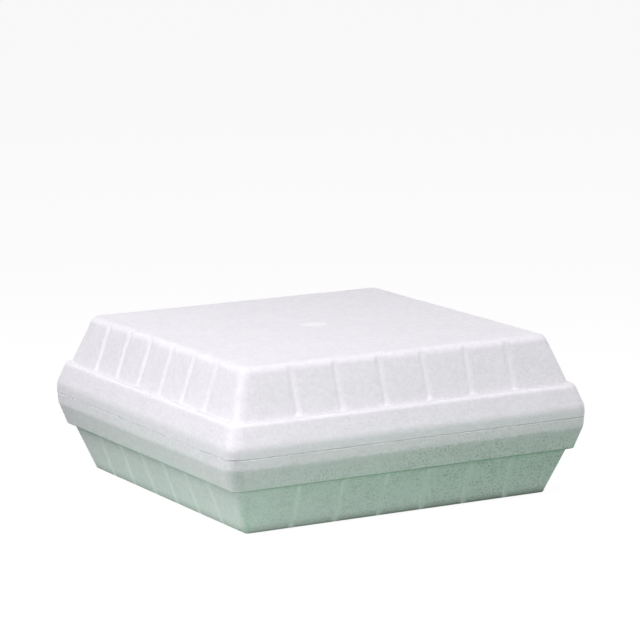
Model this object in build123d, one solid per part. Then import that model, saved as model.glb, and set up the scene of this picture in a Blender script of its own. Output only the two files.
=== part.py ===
from build123d import *
import math
import os

# Square foam cake box in two mouldings, a base tray and a lid, in millimetres.
# The halves share one outline, mirrored at the plane where they meet. The lid laps over a lip on the base.
# The origin is the centre of the underside, and +Z is up.

# Outline of a half, from its rim at the parting plane to its flat end face
rim_width = 280.0
rim_corner = 7.0
band_height = 7.2
shoulder_height = 22.5
shoulder_inset = 5.7
ledge_width = 4.4
wall_lean = 12.0
lid_height = 56.4
base_height = 55.0

# Softened edges of that outline
rim_bevel = 0.8
band_round = 7.0
shoulder_round = 4.0
foot_round = 1.5
wall_round = 6.0

# Upright grooves in each wall
groove_count = 6
groove_pitch = 33.4
groove_width = 6.5
groove_depth = 1.1

# Foam thickness and the cake space inside
wall_thickness = 12.5
floor_thickness = 12.0
cavity_round = 8.0

# Lap joint: a lip on the base stands in a rebate of the lid
lip_thickness = 7.0
lip_height = 6.0
lip_bevel = 1.5
lap_clearance = 0.5

# Low domed filling mark in the middle of the lid
mark_width = 18.0
mark_rise = 0.9

# How far cutters run past what they cut, and how close an edge or face lies to the height it is picked by
overrun = 1.0
pick_match = 0.01

# Half widths of the outline, each from its neighbour
rim_half = rim_width / 2
shoulder_half = rim_half - shoulder_inset
foot_half = shoulder_half - ledge_width


def rounded_block(half_width, corner, height):
    """An upright square block with round corners, standing on the parting plane."""
    return extrude(RectangleRounded(2 * half_width, 2 * half_width, corner), amount=height)


def leaning_block(half_width, lean, height):
    """A square block on the parting plane whose four flat sides lean in as they rise."""
    top_half = half_width - lean * height
    outline_points = [(-half_width, 0), (half_width, 0), (top_half, height), (-top_half, height)]
    section = make_face(Polyline(outline_points, close=True))
    ridge = extrude(Plane.XZ * section, amount=half_width, both=True)
    return ridge & Rot(0, 0, 90) * ridge


def face_at(solid, height):
    """The level face of a solid at a height."""
    return solid.faces().filter_by_position(Axis.Z, height - pick_match, height + pick_match)[0]


def edges_between(solid, low, high):
    """The edges of a solid whose middles lie between two heights."""
    return solid.edges().filter_by_position(Axis.Z, low, high)


def rounded_tub(half_width, lean, radius, height):
    """A leaning block with one radius on its four corner edges and round its top face."""
    block = leaning_block(half_width, lean, height)
    return fillet(edges_between(block, pick_match, height + pick_match), radius)


def wall_slope(height):
    """How far the wall of a half leans in for each unit that it rises."""
    return wall_lean / (height - shoulder_height)


def wall_half(height):
    """Half width of the wall of a half, carried down its slope to the parting plane."""
    return foot_half + shoulder_height * wall_slope(height)


def mouth_half(height):
    """Half width of the cake space at the parting plane, where the inner wall runs beside the outer one."""
    return wall_half(height) - wall_thickness


def outline(height):
    """The outside of a half, standing on its rim: band, shoulder, ledge, wall and end face."""
    flare = shoulder_inset / (shoulder_height - band_height)
    shoulder = leaning_block(rim_half + band_height * flare, flare, shoulder_height)
    shoulder = fillet(edges_between(shoulder, pick_match, shoulder_height - pick_match), rim_corner)
    rim = rounded_block(rim_half, rim_corner, shoulder_height) & shoulder
    rim = fillet(edges_between(rim, band_height - overrun, band_height + overrun), band_round)
    rim = fillet(face_at(rim, shoulder_height).edges(), shoulder_round)
    rim = chamfer(face_at(rim, 0).edges(), rim_bevel)
    solid = rim + rounded_tub(wall_half(height), wall_slope(height), wall_round, height)
    return fillet(face_at(solid, shoulder_height).inner_wires()[0].edges(), foot_round)


def grooves(height):
    """Round-bottomed cutters for all four walls, each running up the slope from the foot past the end face."""
    radius = ((groove_width / 2) ** 2 + groove_depth ** 2) / (2 * groove_depth)
    tilt = math.atan(wall_slope(height))
    length = height / math.cos(tilt) + overrun
    first = -groove_pitch * (groove_count - 1) / 2
    bar = Cylinder(radius, length, align=(Align.CENTER, Align.CENTER, Align.MIN))
    foot_plane = Plane.XY.offset(shoulder_height + foot_round)
    cutters = []
    for index in range(groove_count):
        slope = Pos(first + index * groove_pitch, -wall_half(height), 0) * Rot(-math.degrees(tilt), 0, 0)
        leaning_bar = slope * Pos(0, groove_depth - radius, 0) * bar
        cutter = split(leaning_bar, bisect_by=foot_plane, keep=Keep.TOP)
        cutters += [Rot(0, 0, turn) * cutter for turn in (0, 90, 180, 270)]
    return cutters


def cake_space(height):
    """The hollow of a half, from the parting plane to its floor, with a rounded floor edge."""
    return rounded_tub(mouth_half(height), wall_slope(height), cavity_round, height - floor_thickness)


def filling_mark():
    """The low dome that the filling nozzle leaves, standing on the level it is drawn at."""
    edge = (mark_width / 2, 0)
    crown = (0, mark_rise)
    section = make_face([Line((0, 0), edge), TangentArc(crown, edge, tangent=(1, 0)), Line(crown, (0, 0))])
    return revolve(Plane.XZ * section, axis=Axis.Z)


lip_half = mouth_half(base_height) + lip_thickness

# Base: the half turned over, hollowed, with the lip standing round its mouth
lip = rounded_block(lip_half, cavity_round, lip_height)
lip = chamfer(face_at(lip, lip_height).edges(), lip_bevel)
lip -= rounded_block(mouth_half(base_height), cavity_round, lip_height)
tray = outline(base_height) - grooves(base_height) - cake_space(base_height)
base = Pos(0, 0, base_height) * (mirror(tray, about=Plane.XY) + lip)

# Lid: the half upright, hollowed, with a rebate for the lip and the filling mark on top
rebate = rounded_block(lip_half + lap_clearance, cavity_round, lip_height + lap_clearance)
cover = outline(lid_height) - grooves(lid_height) - cake_space(lid_height) - rebate
lid = Pos(0, 0, base_height) * (cover + Pos(0, 0, lid_height) * filling_mark())

os.makedirs("parts", exist_ok=True)
for name, solid in (("base", base), ("lid", lid)):
    export_step(solid, f"parts/{name}.step")
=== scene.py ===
"""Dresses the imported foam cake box: two moulded bead foam halves, a studio round them and the camera."""
import logging
import math
from dataclasses import dataclass, field
from enum import Enum

import bpy
import numpy as np
from mathutils import Matrix, Vector


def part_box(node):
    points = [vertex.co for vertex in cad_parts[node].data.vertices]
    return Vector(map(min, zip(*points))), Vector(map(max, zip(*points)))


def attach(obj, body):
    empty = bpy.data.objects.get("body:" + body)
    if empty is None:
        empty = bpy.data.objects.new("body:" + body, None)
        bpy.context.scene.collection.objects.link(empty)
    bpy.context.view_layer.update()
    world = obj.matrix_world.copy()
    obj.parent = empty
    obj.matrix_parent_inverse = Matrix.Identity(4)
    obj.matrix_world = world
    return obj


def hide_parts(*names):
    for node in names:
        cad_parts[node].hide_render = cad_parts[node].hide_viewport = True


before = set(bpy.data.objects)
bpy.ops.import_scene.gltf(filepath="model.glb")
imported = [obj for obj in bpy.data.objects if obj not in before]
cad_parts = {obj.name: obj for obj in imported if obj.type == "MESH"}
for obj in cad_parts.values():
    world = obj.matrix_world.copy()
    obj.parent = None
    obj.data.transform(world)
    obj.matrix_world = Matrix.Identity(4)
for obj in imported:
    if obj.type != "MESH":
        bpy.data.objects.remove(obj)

# A millimetre in metres
MM = 0.001

# The mesh attributes that the finishes read
# Attribute of the smooth skin: real at the filling mark, and at the grooves partly a painted highlight
SKIN_AND_HIGHLIGHT_ATTRIBUTE = "skin_and_highlight"
# Attribute of the painted shade: darker colour standing in for shadow in the crease under the base's shoulder
# and along its bottom edge
PAINTED_SHADE_ATTRIBUTE = "painted_shade"

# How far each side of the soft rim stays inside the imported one
RIM_EASE = 0.8 * MM

# The colour that all lamps share
LAMP_WHITE = (1.0, 0.98, 1.02)

log = logging.getLogger("cake_box")


class Facing(Enum):
    """Which way a half stands on the parting plane, as the sign of its height."""

    UP = 1
    DOWN = -1


@dataclass(frozen=True)
class Turn:
    """A corner of a half's section, and how round the plan is where the section enters and leaves it.

    Attributes:
        half_width: distance of the corner from the box's axis.
        height: distance from the parting plane, away from the other half.
        softness: radius of the turn in the section.
        round_in: radius of the plan's corner where the turn starts.
        round_out: radius of the plan's corner where the turn ends.
    """

    half_width: float
    height: float
    softness: float
    round_in: float
    round_out: float


@dataclass(frozen=True)
class SectionSteps:
    """How finely a section is divided into rows.

    Attributes:
        run: longest step along a straight run.
        support: distance of the row beside each end of a run, which keeps its shading flat.
        short_run: length of a run, in supports, up to which it has one row, in its middle.
        run_rows: fewest rows inside a longer run.
        arc_deg: largest angle between the rows of a turn.
        arc_rows: fewest rows of a turn.
    """

    run: float = 3.5 * MM
    support: float = 0.35 * MM
    short_run: float = 3.0
    run_rows: int = 2
    arc_deg: float = 11.0
    arc_rows: int = 3

    def along(self, start: np.ndarray, end: np.ndarray) -> np.ndarray:
        """Gives the rows inside a straight run, without its two ends.

        Args:
            start: half width, height and corner centre where the run starts.
            end: the same where it ends.

        Returns:
            Rows between them, evenly spaced from close beside the start to close beside the end.
        """
        length = float(np.linalg.norm((end - start)[:2]))
        short = length <= self.short_run * self.support
        near = 0.5 if short else self.support / length
        count = max(self.run_rows, math.ceil(length / self.run))
        shares = np.unique(np.linspace(near, 1 - near, count))
        return start + (end - start) * shares[:, None]

    def round(self, start: np.ndarray, corner: np.ndarray, end: np.ndarray, half_angle: float) -> np.ndarray:
        """Gives the rows of a turn as a conic arc, which is an exact circle in the section.

        Each row is the weighted mean of start, corner and end, with weights of (1-s)^2,
        2s(1-s)sin(half_angle) and s^2. The corner centre goes evenly from start to end instead, so that
        the plan's corner stays a ball.

        Args:
            start: half width, height and corner centre where the turn starts.
            corner: the same at the sharp corner.
            end: the same where the turn ends.
            half_angle: half the angle between the two runs.

        Returns:
            Rows from start to end, both included.
        """
        sweep = math.degrees(math.pi - 2 * half_angle)
        count = max(self.arc_rows, math.ceil(sweep / self.arc_deg) + 1)
        share = np.linspace(0, 1, count)[:, None]
        weights = np.hstack([(1 - share) ** 2, 2 * share * (1 - share) * math.sin(half_angle), share ** 2])
        rows = weights @ np.stack([start, corner, end]) / weights.sum(axis=1, keepdims=True)
        rows[:, 2:] = start[2:] + (end - start)[2:] * share
        return rows

    def section(self, turns: list[Turn]) -> np.ndarray:
        """Carries a section through its turns; the first and last are only its ends.

        Args:
            turns: the corners of the section in order.

        Returns:
            One row for each level: half width, height, and distance of the plan's corner centres from
            the axis.
        """
        ends = [np.array([t.half_width, t.height, t.half_width - t.round_in]) for t in turns]
        pieces = [ends[0][None]]
        leave = ends[0]
        for before, here, after in zip(turns, turns[1:], turns[2:]):
            corner = np.array([here.half_width, here.height])
            back = np.array([before.half_width, before.height]) - corner
            onward = np.array([after.half_width, after.height]) - corner
            back /= np.linalg.norm(back)
            onward /= np.linalg.norm(onward)
            half_angle = 0.5 * math.acos(float(np.clip(back @ onward, -1, 1)))
            reach = here.softness / math.tan(half_angle)
            start, end = corner + back * reach, corner + onward * reach
            arrive = np.append(start, start[0] - here.round_in)
            depart = np.append(end, end[0] - here.round_out)
            pieces.append(self.along(leave, arrive))
            pieces.append(self.round(arrive, np.append(corner, 0), depart, half_angle))
            leave = depart
        pieces += [self.along(leave, ends[-1]), ends[-1][None]]
        return np.concatenate(pieces)


@dataclass(frozen=True)
class Grooves:
    """The upright grooves of a wall: soft round troughs at an even pitch.

    Attributes:
        count: grooves in each wall.
        pitch: distance between neighbours.
        width: width of the trough at the wall's face.
        depth: depth of the trough.
        rise: height over which a groove deepens above the foot of the wall.
        samples: columns across one groove.
        reach_share: how far those columns reach to each side, as a share of the width.
        between_shares: places of the columns between two grooves, as shares of the pitch.
    """

    count: int = 6
    pitch: float = 33.4 * MM
    width: float = 7.8 * MM
    depth: float = 1.25 * MM
    rise: float = 2.0 * MM
    samples: int = 17
    reach_share: float = 0.55
    between_shares: tuple[float, ...] = (0.3, 0.5, 0.7)

    def centres(self) -> np.ndarray:
        """Gives the grooves' places along a wall."""
        return (np.arange(self.count) - (self.count - 1) / 2) * self.pitch

    def columns(self) -> np.ndarray:
        """Gives the columns that the grooves need, closer together across each groove.

        Returns:
            Places along a wall, in order.
        """
        reach = self.reach_share * self.width
        across = self.centres()[:, None] + np.linspace(-reach, reach, self.samples)
        between = self.centres()[:-1, None] + self.pitch * np.array(self.between_shares)
        return np.sort(np.concatenate([across.ravel(), between.ravel()]))

    def depth_at(self, along: np.ndarray) -> np.ndarray:
        """Gives the trough's depth: a raised cosine across the groove, which runs into the wall with no edge.

        Args:
            along: places along the wall.

        Returns:
            Depth below the wall's face, zero far from every groove.
        """
        offset = np.abs(along[..., None] - self.centres()).min(axis=-1)
        share = np.clip(2 * offset / self.width, 0, 1)
        return self.depth * np.cos(0.5 * math.pi * share) ** 2


@dataclass
class FoamHalf:
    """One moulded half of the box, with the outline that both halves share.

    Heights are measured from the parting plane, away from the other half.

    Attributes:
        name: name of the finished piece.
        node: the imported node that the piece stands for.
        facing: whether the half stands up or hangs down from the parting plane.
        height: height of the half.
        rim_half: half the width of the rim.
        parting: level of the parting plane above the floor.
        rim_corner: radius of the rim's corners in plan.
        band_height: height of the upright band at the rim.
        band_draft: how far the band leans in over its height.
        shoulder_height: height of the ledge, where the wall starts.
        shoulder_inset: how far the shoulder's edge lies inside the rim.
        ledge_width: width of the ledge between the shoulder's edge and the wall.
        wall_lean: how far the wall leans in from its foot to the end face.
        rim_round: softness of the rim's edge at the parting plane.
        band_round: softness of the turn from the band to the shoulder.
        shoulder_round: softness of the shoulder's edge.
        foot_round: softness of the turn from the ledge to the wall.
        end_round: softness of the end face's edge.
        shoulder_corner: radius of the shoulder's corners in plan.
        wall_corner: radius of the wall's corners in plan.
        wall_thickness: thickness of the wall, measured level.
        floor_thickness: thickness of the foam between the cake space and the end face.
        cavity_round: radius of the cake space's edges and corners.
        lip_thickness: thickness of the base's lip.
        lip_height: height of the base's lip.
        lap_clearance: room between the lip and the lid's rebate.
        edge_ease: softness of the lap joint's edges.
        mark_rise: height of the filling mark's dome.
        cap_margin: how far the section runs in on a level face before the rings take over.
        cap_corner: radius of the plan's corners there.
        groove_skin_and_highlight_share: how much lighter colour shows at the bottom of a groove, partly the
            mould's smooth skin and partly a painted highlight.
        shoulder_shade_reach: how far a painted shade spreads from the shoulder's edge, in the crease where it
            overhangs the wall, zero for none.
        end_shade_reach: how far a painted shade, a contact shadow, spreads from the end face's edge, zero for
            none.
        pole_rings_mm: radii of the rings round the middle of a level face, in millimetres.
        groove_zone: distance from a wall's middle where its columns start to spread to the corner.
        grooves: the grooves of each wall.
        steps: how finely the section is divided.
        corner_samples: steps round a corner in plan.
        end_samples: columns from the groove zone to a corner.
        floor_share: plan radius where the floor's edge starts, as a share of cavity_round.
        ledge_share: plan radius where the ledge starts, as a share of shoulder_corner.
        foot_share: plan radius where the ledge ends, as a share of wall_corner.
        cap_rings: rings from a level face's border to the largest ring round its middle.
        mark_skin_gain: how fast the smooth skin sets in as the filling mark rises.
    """

    name: str
    node: str
    facing: Facing
    height: float
    rim_half: float
    parting: float
    rim_corner: float = 10.5 * MM
    band_height: float = 7.2 * MM
    band_draft: float = 0.0
    shoulder_height: float = 22.5 * MM
    shoulder_inset: float = 5.7 * MM
    ledge_width: float = 4.4 * MM
    wall_lean: float = 12.0 * MM
    rim_round: float = 0.9 * MM
    band_round: float = 11.0 * MM
    shoulder_round: float = 4.0 * MM
    foot_round: float = 2.0 * MM
    end_round: float = 7.5 * MM
    shoulder_corner: float = 9.3 * MM
    wall_corner: float = 7.5 * MM
    wall_thickness: float = 12.5 * MM
    floor_thickness: float = 12.0 * MM
    cavity_round: float = 8.0 * MM
    lip_thickness: float = 7.0 * MM
    lip_height: float = 6.0 * MM
    lap_clearance: float = 0.5 * MM
    edge_ease: float = 0.8 * MM
    mark_rise: float = 0.9 * MM
    cap_margin: float = 10.0 * MM
    cap_corner: float = 0.8 * MM
    groove_skin_and_highlight_share: float = 0.35
    shoulder_shade_reach: float = 0.0
    end_shade_reach: float = 0.0
    pole_rings_mm: tuple[float, ...] = (11.0, 10.3, 9.7, 9.1, 8.3, 7.2, 5.9, 4.5, 3.0, 1.6, 0.6)
    groove_zone: float = 90.0 * MM
    grooves: Grooves = field(default_factory=Grooves)
    steps: SectionSteps = field(default_factory=SectionSteps)
    corner_samples: int = 12
    end_samples: int = 6
    floor_share: float = 0.3
    ledge_share: float = 0.6
    foot_share: float = 1.1
    cap_rings: int = 14
    mark_skin_gain: float = 4.0

    @property
    def shoulder_half(self) -> float:
        """Half width at the shoulder's edge."""
        return self.rim_half - self.shoulder_inset

    @property
    def foot_half(self) -> float:
        """Half width at the foot of the wall."""
        return self.shoulder_half - self.ledge_width

    @property
    def lean(self) -> float:
        """How far the wall leans in for each unit that it rises."""
        return self.wall_lean / (self.height - self.shoulder_height)

    def wall_half(self, height: float | np.ndarray) -> float | np.ndarray:
        """Gives the half width of the straight wall at a height."""
        return self.foot_half - (height - self.shoulder_height) * self.lean

    def inner_half(self, height: float) -> float:
        """Gives the half width of the cake space at a height."""
        return self.wall_half(height) - self.wall_thickness

    def lap_turns(self) -> list[Turn]:
        """Gives the section of the lap joint, from the cake space to the rim's face."""
        raise NotImplementedError

    def crown(self, radius: np.ndarray) -> np.ndarray:
        """Gives how far the end face rises at a distance from the axis; a plain end face is flat."""
        return np.zeros_like(radius)

    def turns(self) -> list[Turn]:
        """Gives the whole section, from the cake space's floor round the lap and the rim to the end face.

        Returns:
            The corners of the section in order.
        """
        floor = self.height - self.floor_thickness
        floor_half = self.inner_half(floor)
        bore = self.cavity_round
        inside = [
            Turn(floor_half - self.cap_margin - bore, floor, 0, self.cap_corner, self.cap_corner),
            Turn(floor_half, floor, bore, self.floor_share * bore, bore),
        ]
        rim = self.rim_corner
        shoulder = self.shoulder_corner
        tight = self.wall_corner
        end_half = self.wall_half(self.height)
        outside = [
            Turn(self.rim_half, 0, self.rim_round, rim, rim),
            Turn(self.rim_half - self.band_draft, self.band_height, self.band_round, rim, rim),
            Turn(self.shoulder_half, self.shoulder_height, self.shoulder_round,
                 shoulder, self.ledge_share * shoulder),
            Turn(self.foot_half, self.shoulder_height, self.foot_round, self.foot_share * tight, tight),
            Turn(end_half, self.height, self.end_round, tight, self.cap_corner),
            Turn(end_half - self.cap_margin, self.height, 0, self.cap_corner, self.cap_corner),
        ]
        return inside + self.lap_turns() + outside

    def along_wall(self, centre: np.ndarray) -> np.ndarray:
        """Gives the columns of one wall: fixed across the grooves, and spread from there to the corner.

        Args:
            centre: distance of the corner centre from the axis, for each row.

        Returns:
            Places along the wall, one row for each level.
        """
        fixed = self.grooves.columns()
        shares = np.linspace(0, 1, self.end_samples)
        tail = self.groove_zone + shares * (centre[:, None] - self.groove_zone)
        middle = np.broadcast_to(fixed, (len(centre), len(fixed)))
        return np.hstack([-tail[:, ::-1], middle, tail])

    def groove_cut(self, rows: np.ndarray, along: np.ndarray) -> np.ndarray:
        """Gives how far the grooves cut into a wall: down to the trough where the face stands proud of it.

        Args:
            rows: the section's rows.
            along: places along the wall.

        Returns:
            Inward shift for each point of one wall.
        """
        half, height = rows[:, :1], rows[:, 1:2]
        share = np.clip((height - self.shoulder_height) / self.grooves.rise, 0, 1)
        trough = self.grooves.depth_at(along) * share * share * (3 - 2 * share)
        proud = half - (self.wall_half(height) - trough)
        outer = np.arange(len(rows))[:, None] > np.argmax(rows[:, 0])
        return np.where(outer & (trough > 0), np.maximum(proud, 0), 0)

    def painted_shade(self, rows: np.ndarray) -> np.ndarray:
        """Gives the painted shade at the shoulder's edge and the end face's edge: a bell curve of the
        distance from each edge.

        Args:
            rows: the section's rows.

        Returns:
            Painted shade for each row, from 0 to 1.
        """
        shoulder = (self.shoulder_half, self.shoulder_height, self.shoulder_shade_reach)
        end = (self.wall_half(self.height), self.height, self.end_shade_reach)
        painted_shade = np.zeros(len(rows))
        for half, height, reach in (shoulder, end):
            if reach:
                away = np.hypot(rows[:, 0] - half, rows[:, 1] - height)
                painted_shade = np.maximum(painted_shade, np.exp(-(away / reach) ** 2))
        return painted_shade

    def rings(self) -> tuple[np.ndarray, np.ndarray, np.ndarray]:
        """Carries the section round a square with round corners.

        A quarter is one wall and the corner after it. The other three are the same points turned by
        quarter turns.

        Returns:
            Points by row and column, with the parting plane at height zero and the half standing up, and
            for each of them the share of a groove's depth and the painted shade.
        """
        rows = self.steps.section(self.turns())
        half, height, centre = rows.T
        along = self.along_wall(centre)
        cut = self.groove_cut(rows, along)
        face = cut - half[:, None]
        angle = np.linspace(0, math.pi / 2, self.corner_samples + 1)[1:-1]
        radius = (half - centre)[:, None]
        quarter_x = np.hstack([along, centre[:, None] + radius * np.sin(angle)])
        quarter_y = np.hstack([face, -centre[:, None] - radius * np.cos(angle)])
        x = np.hstack([quarter_x, -quarter_y, -quarter_x, quarter_y])
        y = np.hstack([quarter_y, quarter_x, -quarter_y, -quarter_x])
        points = np.stack([x, y, np.broadcast_to(height[:, None], x.shape)], axis=-1)
        depth = np.tile(np.hstack([cut, np.zeros((len(rows), len(angle)))]), 4) / self.grooves.depth
        return points, depth, np.broadcast_to(self.painted_shade(rows)[:, None], x.shape)

    def cap(self, border: np.ndarray, circles: np.ndarray) -> np.ndarray:
        """Fills a level face from its border inwards, with rings that go from a square to circles.

        A ring is the border drawn in by a share, and each point's distance from the axis goes over to
        the border's half width as the share gets smaller, so that the last rings are true circles.

        Args:
            border: the ring that the face ends at.
            circles: radii of the innermost rings, from large to small.

        Returns:
            Rings of the face from the border inwards, without the border itself.
        """
        reach = np.hypot(border[:, 0], border[:, 1])
        half = reach.min()
        outer = np.linspace(1, circles[0] / half, self.cap_rings)[1:-1]
        shares = np.concatenate([outer, circles / half])
        blend = np.clip((1 - shares) / (1 - circles[0] / half), 0, 1)
        distance = shares[:, None] * (reach + blend[:, None] * (half - reach))
        flat = border[:, :2] / reach[:, None] * distance[..., None]
        return np.concatenate([flat, np.full((*flat.shape[:2], 1), border[0, 2])], axis=-1)

    def build(self) -> bpy.types.Object:
        """Makes the half as one closed surface: floor, section carried round, end face and two poles.

        Returns:
            The new object, riding on its body and standing for its node.
        """
        body, depth, painted_shade = self.rings()
        circles = np.array(self.pole_rings_mm) * MM
        floor = self.cap(body[0], circles)[::-1]
        end = self.cap(body[-1], circles)
        end[..., 2] += self.crown(np.hypot(end[..., 0], end[..., 1]))
        grid = np.concatenate([floor, body, end])
        poles = np.array([[0, 0, floor[0, 0, 2]], [0, 0, body[-1, 0, 2] + self.crown(np.zeros(1))[0]]])
        points = np.concatenate([grid.reshape(-1, 3), poles])
        smooth = np.clip(self.mark_skin_gain * (points[:, 2] - self.height) / self.mark_rise, 0, 1)
        painted_shading = np.zeros(len(points))
        walls = slice(floor[..., 0].size, floor[..., 0].size + depth.size)
        # Lighter groove bottoms: partly the mould's smooth skin, partly a painted highlight
        smooth[walls] = self.groove_skin_and_highlight_share * depth.ravel()
        painted_shading[walls] = painted_shade.ravel()
        points[:, 2] = self.parting + self.facing.value * points[:, 2]
        piece = self.piece(points, *self.faces(grid.shape[0], grid.shape[1]))
        for name, values in ((SKIN_AND_HIGHLIGHT_ATTRIBUTE, smooth), (PAINTED_SHADE_ATTRIBUTE, painted_shading)):
            piece.data.attributes.new(name, "FLOAT", "POINT").data.foreach_set("value", values)
        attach(piece, self.node)
        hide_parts(self.node)
        log.info("%s: %d points, %d faces", self.name, len(piece.data.vertices), len(piece.data.polygons))
        return piece

    def faces(self, rows: int, columns: int) -> tuple[np.ndarray, np.ndarray]:
        """Joins the grid's rows with quads and its two end rings to their poles with triangles.

        Args:
            rows: rings in the grid.
            columns: points in a ring.

        Returns:
            Quads and triangles as indices of points, facing outwards.
        """
        index = np.arange(rows * columns).reshape(rows, columns)
        onward = np.roll(index, -1, axis=1)
        quads = np.stack([index[:-1], onward[:-1], onward[1:], index[1:]], axis=-1).reshape(-1, 4)
        first = np.full(columns, rows * columns)
        start = np.stack([first, onward[0], index[0]], axis=-1)
        end = np.stack([index[-1], onward[-1], first + 1], axis=-1)
        triangles = np.concatenate([start, end])
        if self.facing is Facing.DOWN:
            return quads[:, ::-1], triangles[:, ::-1]
        return quads, triangles

    def piece(self, points: np.ndarray, quads: np.ndarray, triangles: np.ndarray) -> bpy.types.Object:
        """Puts points and faces into a smooth mesh object at the origin.

        Args:
            points: places in metres.
            quads: indices of four points for each quad.
            triangles: indices of three points for each triangle.

        Returns:
            The object, linked to the scene.
        """
        mesh = bpy.data.meshes.new(self.name)
        mesh.from_pydata(points.tolist(), [], quads.tolist() + triangles.tolist())
        mesh.polygons.foreach_set("use_smooth", np.ones(len(mesh.polygons), dtype=bool))
        mesh.update()
        piece = bpy.data.objects.new(self.name, mesh)
        bpy.context.scene.collection.objects.link(piece)
        return piece


@dataclass
class Lid(FoamHalf):
    """The upper half, with a rebate for the base's lip and the round filling mark on top.

    Attributes:
        mark_radius: radius of the filling mark.
        lip_side: half width of the outer side of the base's lip.
    """

    ledge_width: float = 3.6 * MM
    mark_radius: float = 9.7 * MM
    lip_side: float = 0.0

    def lap_turns(self) -> list[Turn]:
        """Gives the rebate: a step in the inner wall, and its upright side down to the rim's face.

        Returns:
            The corners of the rebate in order.
        """
        top = self.lip_height + self.lap_clearance
        side = self.lip_side + self.lap_clearance
        ease, bore = self.edge_ease, self.cavity_round
        return [
            Turn(self.inner_half(top), top, ease, bore, bore),
            Turn(side, top, ease, bore, bore),
            Turn(side, 0, ease, bore, bore),
        ]

    def crown(self, radius: np.ndarray) -> np.ndarray:
        """Gives the filling mark's dome: its rise times one less the square of the share of its radius."""
        return self.mark_rise * np.clip(1 - (radius / self.mark_radius) ** 2, 0, 1)


@dataclass
class Base(FoamHalf):
    """The lower half, with the lip that stands round its mouth.

    Attributes:
        lip_ease: softness of the lip's outer top edge.
    """

    rim_corner: float = 11.0 * MM
    band_draft: float = 0.5 * MM
    rim_round: float = 0.2 * MM
    band_round: float = 9.0 * MM
    shoulder_round: float = 1.8 * MM
    end_round: float = 2.8 * MM
    wall_corner: float = 5.5 * MM
    grooves: Grooves = field(default_factory=lambda: Grooves(width=7.0 * MM, depth=1.2 * MM))
    # Lighter groove bottoms: partly the mould's smooth skin, partly a painted highlight
    groove_skin_and_highlight_share: float = 0.8
    # Painted shade in the crease under the shoulder's edge, and a painted contact shadow along the bottom
    # edge
    shoulder_shade_reach: float = 0.65 * MM
    end_shade_reach: float = 3.4 * MM
    lip_ease: float = 1.5 * MM

    @property
    def lip_side(self) -> float:
        """Half width of the lip's outer side."""
        return self.inner_half(0) + self.lip_thickness

    def lap_turns(self) -> list[Turn]:
        """Gives the lip: its inner side above the mouth, its top and its outer side down to the rim.

        Returns:
            The corners of the lip in order.
        """
        mouth, side = self.inner_half(0), self.lip_side
        ease, bore = self.edge_ease, self.cavity_round
        return [
            Turn(mouth, 0, ease, bore, bore),
            Turn(mouth, -self.lip_height, ease, bore, bore),
            Turn(side, -self.lip_height, self.lip_ease, bore, bore),
            Turn(side, 0, ease, bore, bore),
        ]


class Nodes:
    """A thin hand for placing and joining shader nodes in a tree.

    Attributes:
        MIX_COLOURS: places of a mix node's two colour inputs.
        MIX_RESULT: place of its colour output.
    """

    MIX_COLOURS = (6, 7)
    MIX_RESULT = 2

    def __init__(self, tree: bpy.types.NodeTree) -> None:
        """Takes the tree that the nodes go into."""
        self.tree = tree

    @classmethod
    def fresh(cls, owner: bpy.types.Material | bpy.types.World) -> "Nodes":
        """Empties the tree of a material or a world.

        Args:
            owner: the material or world.

        Returns:
            A hand for its tree.
        """
        owner.use_nodes = True
        owner.node_tree.nodes.clear()
        return cls(owner.node_tree)

    def add(self, kind: str, inputs: dict | None = None, **settings: object) -> bpy.types.Node:
        """Adds a node.

        Args:
            kind: the node's type name.
            inputs: values or output sockets for its inputs, by name or place.
            **settings: properties of the node.

        Returns:
            The new node.
        """
        node = self.tree.nodes.new(kind)
        for key, value in settings.items():
            setattr(node, key, value)
        for key, value in (inputs or {}).items():
            if isinstance(value, bpy.types.NodeSocket):
                self.tree.links.new(value, node.inputs[key])
            else:
                node.inputs[key].default_value = value
        return node

    def math(self, operation: str, first: object, second: object = 0.0) -> bpy.types.NodeSocket:
        """Adds a sum, product or the like of two values and gives its result."""
        return self.add("ShaderNodeMath", {0: first, 1: second}, operation=operation).outputs[0]

    def mix(self, share: object, first: object, second: object) -> bpy.types.NodeSocket:
        """Adds a mix of two colours.

        Args:
            share: share of the second colour, a socket or a number.
            first: the first colour, a socket or a plain colour.
            second: the second colour, likewise.

        Returns:
            The mixed colour.
        """
        colours = [c if isinstance(c, bpy.types.NodeSocket) else (*c, 1) for c in (first, second)]
        inputs = {0: share, **dict(zip(self.MIX_COLOURS, colours))}
        return self.add("ShaderNodeMix", inputs, data_type="RGBA").outputs[self.MIX_RESULT]

    def span(self, value: bpy.types.NodeSocket, low: float, high: float,
             first: float = 0.0, last: float = 1.0) -> bpy.types.NodeSocket:
        """Maps a value between two limits to another pair, and holds it at both ends.

        Args:
            value: the value to map.
            low: its lower limit.
            high: its upper limit.
            first: result at the lower limit and below.
            last: result at the upper limit and above.

        Returns:
            The mapped value.
        """
        limits = {0: value, 1: low, 2: high, 3: first, 4: last}
        return self.add("ShaderNodeMapRange", limits).outputs[0]


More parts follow.
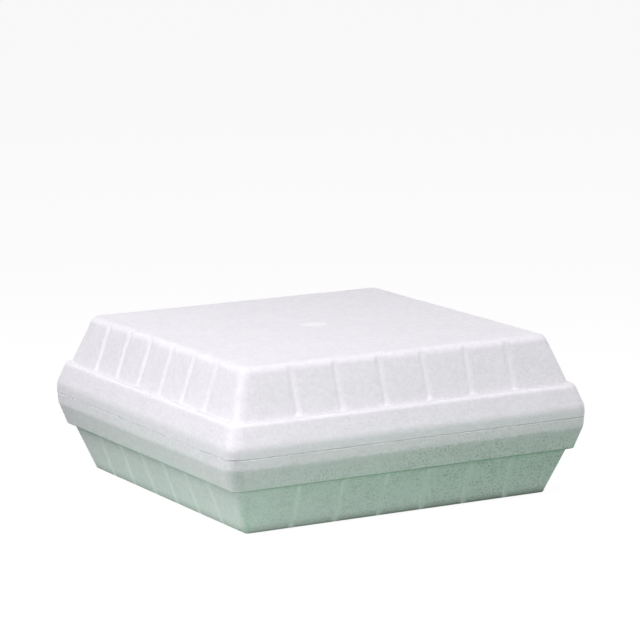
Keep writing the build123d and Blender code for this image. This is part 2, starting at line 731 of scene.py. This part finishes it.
class BeadGrain:
    """The grain of moulded bead foam as a node group: domed beads of their own tones, and fine specks.

    Attributes:
        NAME: name of the group.
        CLOUD_SCALE: scale of the slow changes of tone.
        CLOUD_DETAIL: detail of those changes.
        PATCH_SCALE: scale of the patches in which the specks are fainter or darker.
        PATCH_DETAIL: detail of the patches.
        NOISE_LIMITS: the part of a noise's range that is spread over the full range.
        BEAD_SHARE: share of the tone that is each bead's own.
        CLOUD_SHARE: share of the tone that comes from the slow changes.
        FINE_RATIO: how many times smaller than a bead a speck's cell is.
        DARK_POWER: power of the random number that gives a speck's darkness.
        DOT_LIMITS: distances from a cell's middle where a speck starts to fade and where it is gone.
        PATCH_LIMITS: strength of the specks in the faintest and in the darkest patches.
        SPECK_DEPTH: depth of the darkest specks, as a share of a bead's height.
    """

    NAME = "bead grain"
    CLOUD_SCALE = 34.0
    CLOUD_DETAIL = 3.0
    PATCH_SCALE = 70.0
    PATCH_DETAIL = 2.0
    NOISE_LIMITS = (0.3, 0.7)
    BEAD_SHARE = 0.7
    CLOUD_SHARE = 0.3
    FINE_RATIO = 2.5
    DARK_POWER = 2.0
    DOT_LIMITS = (0.3, 0.9)
    PATCH_LIMITS = (0.5, 1.3)
    SPECK_DEPTH = 0.5

    @classmethod
    def group(cls) -> bpy.types.NodeTree:
        """Gives the group, which is built once.

        The beads are the cells of a Voronoi pattern, domed by one less the square of the distance from
        the cell's middle. A finer pattern gives the specks: soft dots at its cells' middles, as dark as
        the square of a random number, so that a few are dark and most are faint.

        Returns:
            A group with the input Bead Size and the outputs Relief, Tone and Specks.
        """
        if cls.NAME in bpy.data.node_groups:
            return bpy.data.node_groups[cls.NAME]
        tree = bpy.data.node_groups.new(cls.NAME, "ShaderNodeTree")
        tree.interface.new_socket("Bead Size", in_out="INPUT", socket_type="NodeSocketFloat")
        for name in ("Relief", "Tone", "Specks"):
            tree.interface.new_socket(name, in_out="OUTPUT", socket_type="NodeSocketFloat")
        nodes = Nodes(tree)
        given = nodes.add("NodeGroupInput")
        place = nodes.add("ShaderNodeTexCoord").outputs["Object"]
        scale = nodes.math("DIVIDE", 1.0, given.outputs["Bead Size"])
        beads = nodes.add("ShaderNodeTexVoronoi", {"Vector": place, "Scale": scale}, feature="F1")
        dome = nodes.math("SUBTRACT", 1.0, nodes.math("POWER", beads.outputs["Distance"], 2.0))
        bead_tone = nodes.add("ShaderNodeSeparateColor", {0: beads.outputs["Color"]}).outputs[0]
        cloud_look = {"Vector": place, "Scale": cls.CLOUD_SCALE, "Detail": cls.CLOUD_DETAIL}
        clouds = nodes.add("ShaderNodeTexNoise", cloud_look).outputs["Fac"]
        cloud = nodes.span(clouds, *cls.NOISE_LIMITS)
        own_tone = nodes.math("MULTIPLY", bead_tone, cls.BEAD_SHARE)
        tone = nodes.math("ADD", own_tone, nodes.math("MULTIPLY", cloud, cls.CLOUD_SHARE))
        fine_scale = nodes.math("MULTIPLY", scale, cls.FINE_RATIO)
        fine = nodes.add("ShaderNodeTexVoronoi", {"Vector": place, "Scale": fine_scale}, feature="F1")
        chance = nodes.add("ShaderNodeSeparateColor", {0: fine.outputs["Color"]}).outputs[1]
        patch_look = {"Vector": place, "Scale": cls.PATCH_SCALE, "Detail": cls.PATCH_DETAIL}
        patches = nodes.add("ShaderNodeTexNoise", patch_look).outputs["Fac"]
        patch = nodes.span(patches, *cls.NOISE_LIMITS, *cls.PATCH_LIMITS)
        dark = nodes.math("MULTIPLY", nodes.math("POWER", chance, cls.DARK_POWER), patch)
        dot = nodes.span(fine.outputs["Distance"], *cls.DOT_LIMITS, 1.0, 0.0)
        specks = nodes.math("MULTIPLY", dark, dot)
        relief = nodes.math("SUBTRACT", dome, nodes.math("MULTIPLY", specks, cls.SPECK_DEPTH))
        nodes.add("NodeGroupOutput", {"Relief": relief, "Tone": tone, "Specks": specks})
        return tree


@dataclass(frozen=True)
class FoamFinish:
    """A matt white bead foam, with more specks towards one side and lower down, and painted shade along the
    edges that the mesh marks.

    Attributes:
        name: name of the material.
        light: colour of the lightest beads.
        dull: colour of the dullest beads.
        shade: colour of the darkest specks.
        painted_shade_colour: colour of the painted shade along the lower edges, under the shoulder's edge and
            at the bottom edge.
        smooth: colour of the smooth skin of the filling mark, and of the lighter grooves, where it is partly
            a painted highlight.
        bead_size: distance between neighbouring beads.
        bead_depth: height of a bead's dome above the crevices.
        speck_rest: strength of the specks on the other sides, as a share of that on the strong side.
        strong_side: direction from the axis to the side where the specks and the painted shade are strongest.
        side_from: distance along that direction where they start to grow stronger.
        side_to: distance along it where they are at their strongest.
        full_level: height above the floor up to which the specks have their full strength.
        faint_level: height above the floor from which only the faint share of them is left.
        faint_share: strength of the specks above that, as a share of that below.
        roughness: roughness of the skin.
        specular: strength of the skin's faint gloss.
        painted_shade_fade: power of the side strength that the painted shade goes with.
    """

    name: str
    light: tuple[float, float, float]
    dull: tuple[float, float, float]
    shade: tuple[float, float, float]
    # Colour of the painted shade along the lower edges
    painted_shade_colour: tuple[float, float, float] = (0.28, 0.31, 0.29)
    smooth: tuple[float, float, float] = (0.97, 0.965, 0.975)
    bead_size: float = 2.6 * MM
    bead_depth: float = 0.12 * MM
    speck_rest: float = 0.3
    strong_side: tuple[float, float, float] = (0.5, -0.866, 0.0)
    side_from: float = 30.0 * MM
    side_to: float = 140.0 * MM
    full_level: float = 40.0 * MM
    faint_level: float = 54.0 * MM
    faint_share: float = 1.0
    roughness: float = 0.72
    specular: float = 0.25
    painted_shade_fade: float = 0.5

    def side_strength(self, nodes: Nodes) -> bpy.types.NodeSocket:
        """Gives the side strength, which grows towards the strong side.

        Args:
            nodes: the hand for the material's tree.

        Returns:
            The strength at each point, from speck_rest to 1.
        """
        place = nodes.add("ShaderNodeTexCoord").outputs["Object"]
        along = nodes.add("ShaderNodeVectorMath", {0: place, 1: self.strong_side}, operation="DOT_PRODUCT")
        return nodes.span(along.outputs["Value"], self.side_from, self.side_to, self.speck_rest, 1.0)

    def low(self, nodes: Nodes) -> bpy.types.NodeSocket:
        """Gives the share of the specks that is left at a height above the floor.

        Args:
            nodes: the hand for the material's tree.

        Returns:
            The share at each point, from 1 low down to faint_share.
        """
        place = nodes.add("ShaderNodeTexCoord").outputs["Object"]
        height = nodes.add("ShaderNodeSeparateXYZ", {0: place}).outputs["Z"]
        return nodes.span(height, self.full_level, self.faint_level, 1.0, self.faint_share)

    def material(self) -> bpy.types.Material:
        """Makes the material: beads of slightly different white, specked, with their relief as bump.

        Returns:
            The new material.
        """
        material = bpy.data.materials.new(self.name)
        nodes = Nodes.fresh(material)
        grain = nodes.add("ShaderNodeGroup", node_tree=BeadGrain.group())
        grain.inputs["Bead Size"].default_value = self.bead_size
        skin = nodes.mix(grain.outputs["Tone"], self.dull, self.light)
        side_strength = self.side_strength(nodes)
        strength = nodes.math("MULTIPLY", side_strength, self.low(nodes))
        specks = nodes.math("MULTIPLY", grain.outputs["Specks"], strength)
        specked = nodes.mix(specks, skin, self.shade)
        # Painted shade: a darker colour under the shoulder's edge and along the bottom edge, stronger towards
        # one side
        painted_shade = nodes.add("ShaderNodeAttribute", attribute_name=PAINTED_SHADE_ATTRIBUTE).outputs["Fac"]
        painted_shade_share = nodes.math("MULTIPLY", painted_shade, nodes.math("POWER", side_strength, self.painted_shade_fade))
        painted_shading = nodes.mix(painted_shade_share, specked, self.painted_shade_colour)
        # Smooth skin colour: real at the filling mark, and at the grooves partly a painted highlight
        smooth = nodes.add("ShaderNodeAttribute", attribute_name=SKIN_AND_HIGHLIGHT_ATTRIBUTE).outputs["Fac"]
        colour = nodes.mix(smooth, painted_shading, self.smooth)
        bump = nodes.add("ShaderNodeBump", {"Height": grain.outputs["Relief"], "Distance": self.bead_depth})
        foam = nodes.add("ShaderNodeBsdfPrincipled", {
            "Base Color": colour,
            "Normal": bump.outputs["Normal"],
            "Roughness": self.roughness,
            "Specular IOR Level": self.specular,
        })
        nodes.add("ShaderNodeOutputMaterial", {"Surface": foam.outputs[0]})
        return material


@dataclass(frozen=True)
class CameraView:
    """The camera of the photograph, held by its turn round the middle of the parting plane.

    Attributes:
        yaw_deg: turn about the upright axis, zero looking along +Y.
        pitch_deg: angle above the horizon.
        roll_deg: turn about the line of sight.
        distance: distance back from the middle of the parting plane.
        across: shift to the right.
        above: shift upwards.
        lens_mm: focal length on the sensor.
        sensor_mm: width of the sensor.
    """

    yaw_deg: float = -28.9
    pitch_deg: float = 10.055
    roll_deg: float = -0.571
    distance: float = 2204.2 * MM
    across: float = 4.14 * MM
    above: float = 58.5 * MM
    lens_mm: float = 176.24
    sensor_mm: float = 36.0

    def build(self, parting: float) -> bpy.types.Object:
        """Makes the camera and hands it to the scene.

        Args:
            parting: level of the parting plane.

        Returns:
            The camera object.
        """
        yaw, pitch, roll = (math.radians(angle) for angle in (self.yaw_deg, self.pitch_deg, self.roll_deg))
        back = Vector((math.sin(yaw) * math.cos(pitch), -math.cos(yaw) * math.cos(pitch), math.sin(pitch)))
        right = Vector((math.cos(yaw), math.sin(yaw), 0))
        up = back.cross(right)
        place = back * self.distance + right * self.across + up * self.above + Vector((0, 0, parting))
        rolled_right = right * math.cos(roll) + up * math.sin(roll)
        rolled_up = up * math.cos(roll) - right * math.sin(roll)
        data = bpy.data.cameras.new("photo_camera")
        data.lens, data.sensor_width = self.lens_mm, self.sensor_mm
        data.dof.use_dof = False
        camera = bpy.data.objects.new("photo_camera", data)
        turn = Matrix((rolled_right, rolled_up, back)).transposed().to_4x4()
        camera.matrix_world = Matrix.Translation(place) @ turn
        bpy.context.scene.collection.objects.link(camera)
        bpy.context.scene.camera = camera
        return camera


@dataclass(frozen=True)
class Lamp:
    """A lamp of the studio.

    Attributes:
        name: name of the lamp.
        towards: direction from the box to the lamp.
    """

    name: str
    towards: tuple[float, float, float]

    def build(self, centre: Vector) -> bpy.types.Object:
        """Makes the lamp and turns it to the box's centre."""
        raise NotImplementedError

    def hang(self, data: bpy.types.Light, centre: Vector, distance: float = 0.0) -> bpy.types.Object:
        """Hangs a light in the scene, turned to the box's centre.

        Args:
            data: the light.
            centre: the middle of the box.
            distance: how far away from there the light is.

        Returns:
            The lamp.
        """
        data.color = LAMP_WHITE
        way = Vector(self.towards).normalized()
        lamp = bpy.data.objects.new(self.name, data)
        lamp.location = centre + way * distance
        lamp.rotation_mode = "QUATERNION"
        lamp.rotation_quaternion = way.to_track_quat("Z", "Y")
        bpy.context.scene.collection.objects.link(lamp)
        return lamp


@dataclass(frozen=True)
class SoftLight(Lamp):
    """A broad light that falls from one direction.

    Attributes:
        strength: irradiance of the lamp.
        spread_deg: width of the lamp as the box sees it.
        shines: whether the foam's faint gloss reflects the lamp.
    """

    strength: float
    spread_deg: float
    shines: bool = True

    def build(self, centre: Vector) -> bpy.types.Object:
        """Makes the lamp and turns it to the box's centre.

        Args:
            centre: the middle of the box.

        Returns:
            The lamp.
        """
        data = bpy.data.lights.new(self.name, "SUN")
        data.energy, data.angle = self.strength, math.radians(self.spread_deg)
        lamp = self.hang(data, centre)
        lamp.visible_glossy = self.shines
        return lamp


@dataclass(frozen=True)
class NearLight(Lamp):
    """A round panel light close to the box, which falls off along its sides.

    Attributes:
        distance: how far away the lamp is.
        power: power of the lamp.
        width: width of the panel.
    """

    distance: float
    power: float
    width: float

    def build(self, centre: Vector) -> bpy.types.Object:
        """Makes the panel and turns it to the box's centre.

        Args:
            centre: the middle of the box.

        Returns:
            The lamp.
        """
        data = bpy.data.lights.new(self.name, "AREA")
        data.shape, data.size = "DISK", self.width
        data.energy = self.power
        return self.hang(data, centre, self.distance)


@dataclass(frozen=True)
class Studio:
    """The floor, the white surroundings and the lamps.

    Attributes:
        lamps: the lamps round the box.
        table: colour of the light that the floor throws up at the box.
        table_centre: middle of the patch of floor that throws it up.
        table_reach: distance from there where that light has faded by half.
        table_fade: share of that distance, to each side of it, over which the light fades.
        floor_white: share of the floor's white, as seen, that takes the box's shadow.
        floor_glow: share of the floor's white, as seen, that stays the same everywhere.
        floor_half: half the width of the floor.
        floor_drop: how far the floor lies under the box, so that the two faces stay apart.
    """

    lamps: tuple[Lamp, ...]
    table: tuple[float, float, float]
    table_centre: tuple[float, float, float] = (0.035, -0.035, 0.0)
    table_reach: float = 250.0 * MM
    table_fade: float = 0.2
    floor_white: float = 0.12
    floor_glow: float = 0.93
    floor_half: float = 40.0
    floor_drop: float = 0.2 * MM

    @staticmethod
    def seen(nodes: Nodes) -> bpy.types.NodeSocket:
        """Tells what is looked at from what only lights the box.

        Args:
            nodes: the hand for the tree.

        Returns:
            1 where the camera looks, straight or through a reflection or glass, and 0 for other light.
        """
        path = nodes.add("ShaderNodeLightPath").outputs
        glossy = nodes.math("MAXIMUM", path["Is Camera Ray"], path["Is Glossy Ray"])
        return nodes.math("MAXIMUM", glossy, path["Is Transmission Ray"])

    def floor_material(self) -> bpy.types.Material:
        """Makes the floor's finish: white to the eye, with a shadow, and throwing up the table's colour.

        Returns:
            The new material.
        """
        material = bpy.data.materials.new("studio_floor")
        nodes = Nodes.fresh(material)
        white = nodes.add("ShaderNodeBsdfDiffuse", {"Color": (self.floor_white,) * 3 + (1,)})
        glow = nodes.add("ShaderNodeEmission", {"Strength": self.floor_glow})
        shown = nodes.add("ShaderNodeAddShader", {0: white.outputs[0], 1: glow.outputs[0]})
        place = nodes.add("ShaderNodeTexCoord").outputs["Object"]
        away = nodes.add("ShaderNodeVectorMath", {0: place, 1: self.table_centre}, operation="DISTANCE")
        near, far = ((1 + side * self.table_fade) * self.table_reach for side in (-1, 1))
        faded = nodes.span(away.outputs["Value"], near, far)
        table = nodes.add("ShaderNodeBsdfDiffuse", {"Color": nodes.mix(faded, self.table, (0, 0, 0))})
        shaders = {0: self.seen(nodes), 1: table.outputs[0], 2: shown.outputs[0]}
        both = nodes.add("ShaderNodeMixShader", shaders)
        nodes.add("ShaderNodeOutputMaterial", {"Surface": both.outputs[0]})
        return material

    def floor(self) -> bpy.types.Object:
        """Makes the floor, a square under the box.

        Returns:
            The floor.
        """
        half, level = self.floor_half, -self.floor_drop
        corners = ((-half, -half), (half, -half), (half, half), (-half, half))
        mesh = bpy.data.meshes.new("studio_floor")
        mesh.from_pydata([(x, y, level) for x, y in corners], [], [(0, 1, 2, 3)])
        mesh.materials.append(self.floor_material())
        floor = bpy.data.objects.new("studio_floor", mesh)
        bpy.context.scene.collection.objects.link(floor)
        return floor

    def surroundings(self) -> bpy.types.World:
        """Makes the surroundings: white to the eye, and dark to the box.

        Returns:
            The new world.
        """
        world = bpy.data.worlds.new("studio_sky")
        nodes = Nodes.fresh(world)
        dark = nodes.add("ShaderNodeBackground", {"Color": (0, 0, 0, 1)})
        white = nodes.add("ShaderNodeBackground", {"Color": (1, 1, 1, 1)})
        shaders = {0: self.seen(nodes), 1: dark.outputs[0], 2: white.outputs[0]}
        both = nodes.add("ShaderNodeMixShader", shaders)
        nodes.add("ShaderNodeOutputWorld", {"Surface": both.outputs[0]})
        return world

    def build(self, centre: Vector) -> None:
        """Makes the floor, the lamps and the surroundings, and sets the plain view transform.

        Args:
            centre: the middle of the box, which the lamps are turned to.
        """
        scene = bpy.context.scene
        scene.view_settings.view_transform = "Standard"
        scene.world = self.surroundings()
        self.floor()
        for lamp in self.lamps:
            lamp.build(centre)


# The finishes of the two halves
LID_FOAM = FoamFinish("lid_foam", light=(0.95, 0.94, 0.96), dull=(0.87, 0.86, 0.88),
                      shade=(0.83, 0.82, 0.84), speck_rest=0.7)
BASE_FOAM = FoamFinish("base_foam", light=(0.957, 0.947, 0.967), dull=(0.877, 0.867, 0.887),
                       shade=(0.52, 0.52, 0.53), speck_rest=0.25, faint_share=0.35)

# The studio's lamps, and the light that its floor throws up
STUDIO = Studio(
    lamps=(
        NearLight("key_panel", towards=(-0.585, -0.17, 0.793), distance=1.5, power=7.95, width=0.65),
        NearLight("top_panel", towards=(0.18, -0.465, 0.867), distance=1.5, power=10.3, width=0.75),
        NearLight("front_panel", towards=(-0.825, -0.561, 0.07), distance=0.9, power=2.4, width=0.25),
        NearLight("left_panel", towards=(-0.797, 0.291, 0.53), distance=0.9, power=2.05, width=0.3),
        SoftLight("right_wash", towards=(0.853, -0.492, 0.174), strength=1.22, spread_deg=30.0),
        SoftLight("back_wash", towards=(0.45, 0.893, 0.0), strength=2.3, spread_deg=12.0, shines=False),
    ),
    table=(0.1, 0.335, 0.165),
)


def main() -> None:
    """Builds the two halves, dresses them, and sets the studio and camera."""
    logging.basicConfig(level=logging.INFO, format="%(message)s")
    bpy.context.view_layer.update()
    base_low, base_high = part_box("base")
    lid_low, lid_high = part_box("lid")
    parting = lid_low.z
    base = Base("base_half", "base", Facing.DOWN, parting - base_low.z, base_high.x - RIM_EASE, parting)
    lid = Lid("lid_half", "lid", Facing.UP, 0.0, lid_high.x - RIM_EASE, parting)
    lid.height = lid_high.z - parting - lid.mark_rise
    lid.lip_side = base.lip_side
    for half, finish in ((base, BASE_FOAM), (lid, LID_FOAM)):
        half.build().data.materials.append(finish.material())
    STUDIO.build(Vector((0, 0, parting)))
    CameraView().build(parting)


if __name__ == "__main__":
    main()
